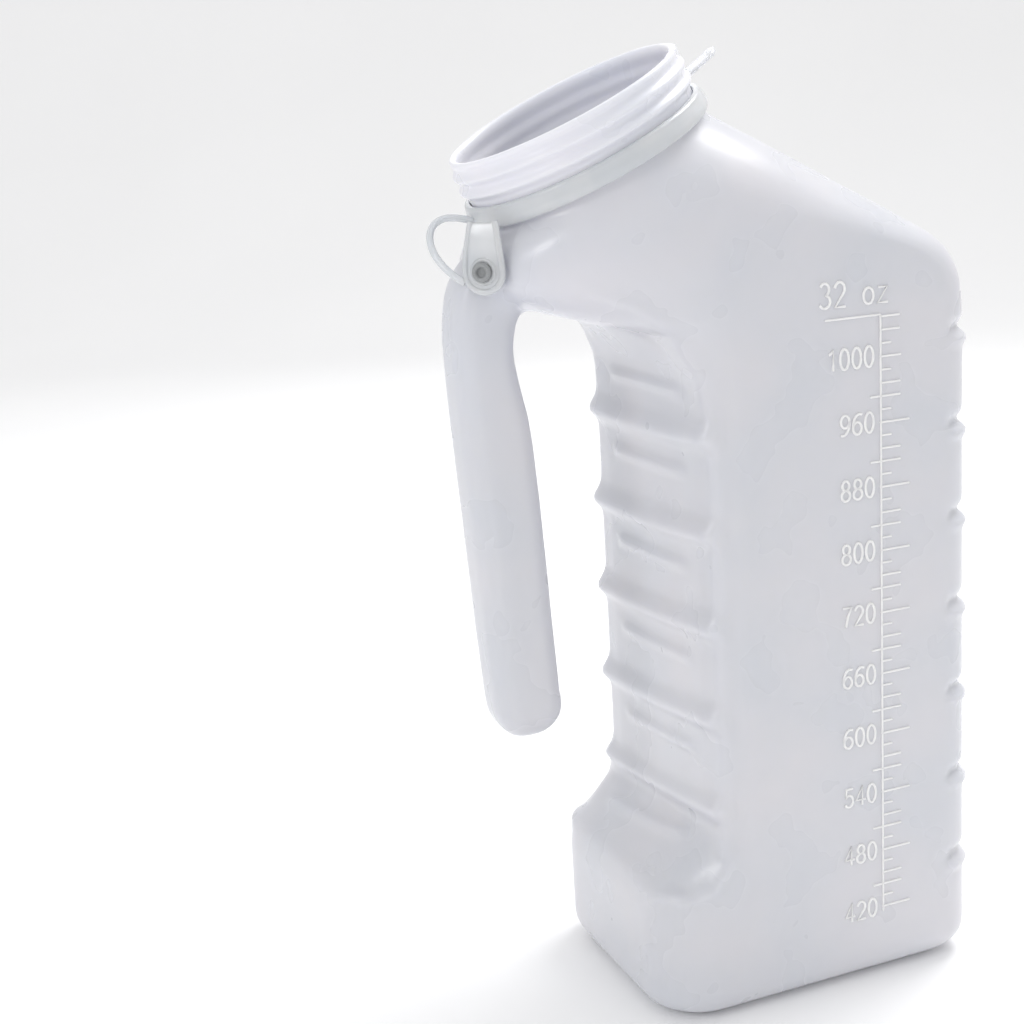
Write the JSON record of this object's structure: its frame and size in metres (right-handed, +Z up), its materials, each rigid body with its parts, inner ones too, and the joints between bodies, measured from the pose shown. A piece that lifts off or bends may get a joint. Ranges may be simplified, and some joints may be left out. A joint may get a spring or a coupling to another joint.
{
  "type": "urine bottle",
  "caption": "Handheld urinal: flat-sided frosted bottle with finger ridges, a hollow side handle, a tilted ridged neck, and a press-fit cap hanging open on a tether.",
  "frame": {"origin": "centre of the flat base", "axes": "+Z up, -X toward the handle and mouth, +X toward the back wall, -Y the side with the moulded scale, +Y the side where the open cap hangs"},
  "size_m": [0.1409, 0.1408, 0.2602],
  "materials": {
    "frosted_polyethylene": "frosted translucent blow-moulded polyethylene",
    "clear_soft_polyethylene": "clear bluish flexible polyethylene",
    "cap_polyethylene": "clear flexible polyethylene",
    "grey_plastic": "grey moulded plastic"
  },
  "bodies": {
    "bottle_body": {"vessel": "frosted_polyethylene", "head": "frosted_polyethylene", "tether": "clear_soft_polyethylene", "stud": "grey_plastic"},
    "cap_body": {"cap": "cap_polyethylene"}
  },
  "joints": [
    {"name": "cap_hinge", "type": "hinge", "parent": "bottle_body", "child": "cap_body", "pos_m": [-0.03427, 0.03517, 0.24224], "axis": [0.828, -0.4067, 0.3861], "range_deg": [0, 183]}
  ]
}
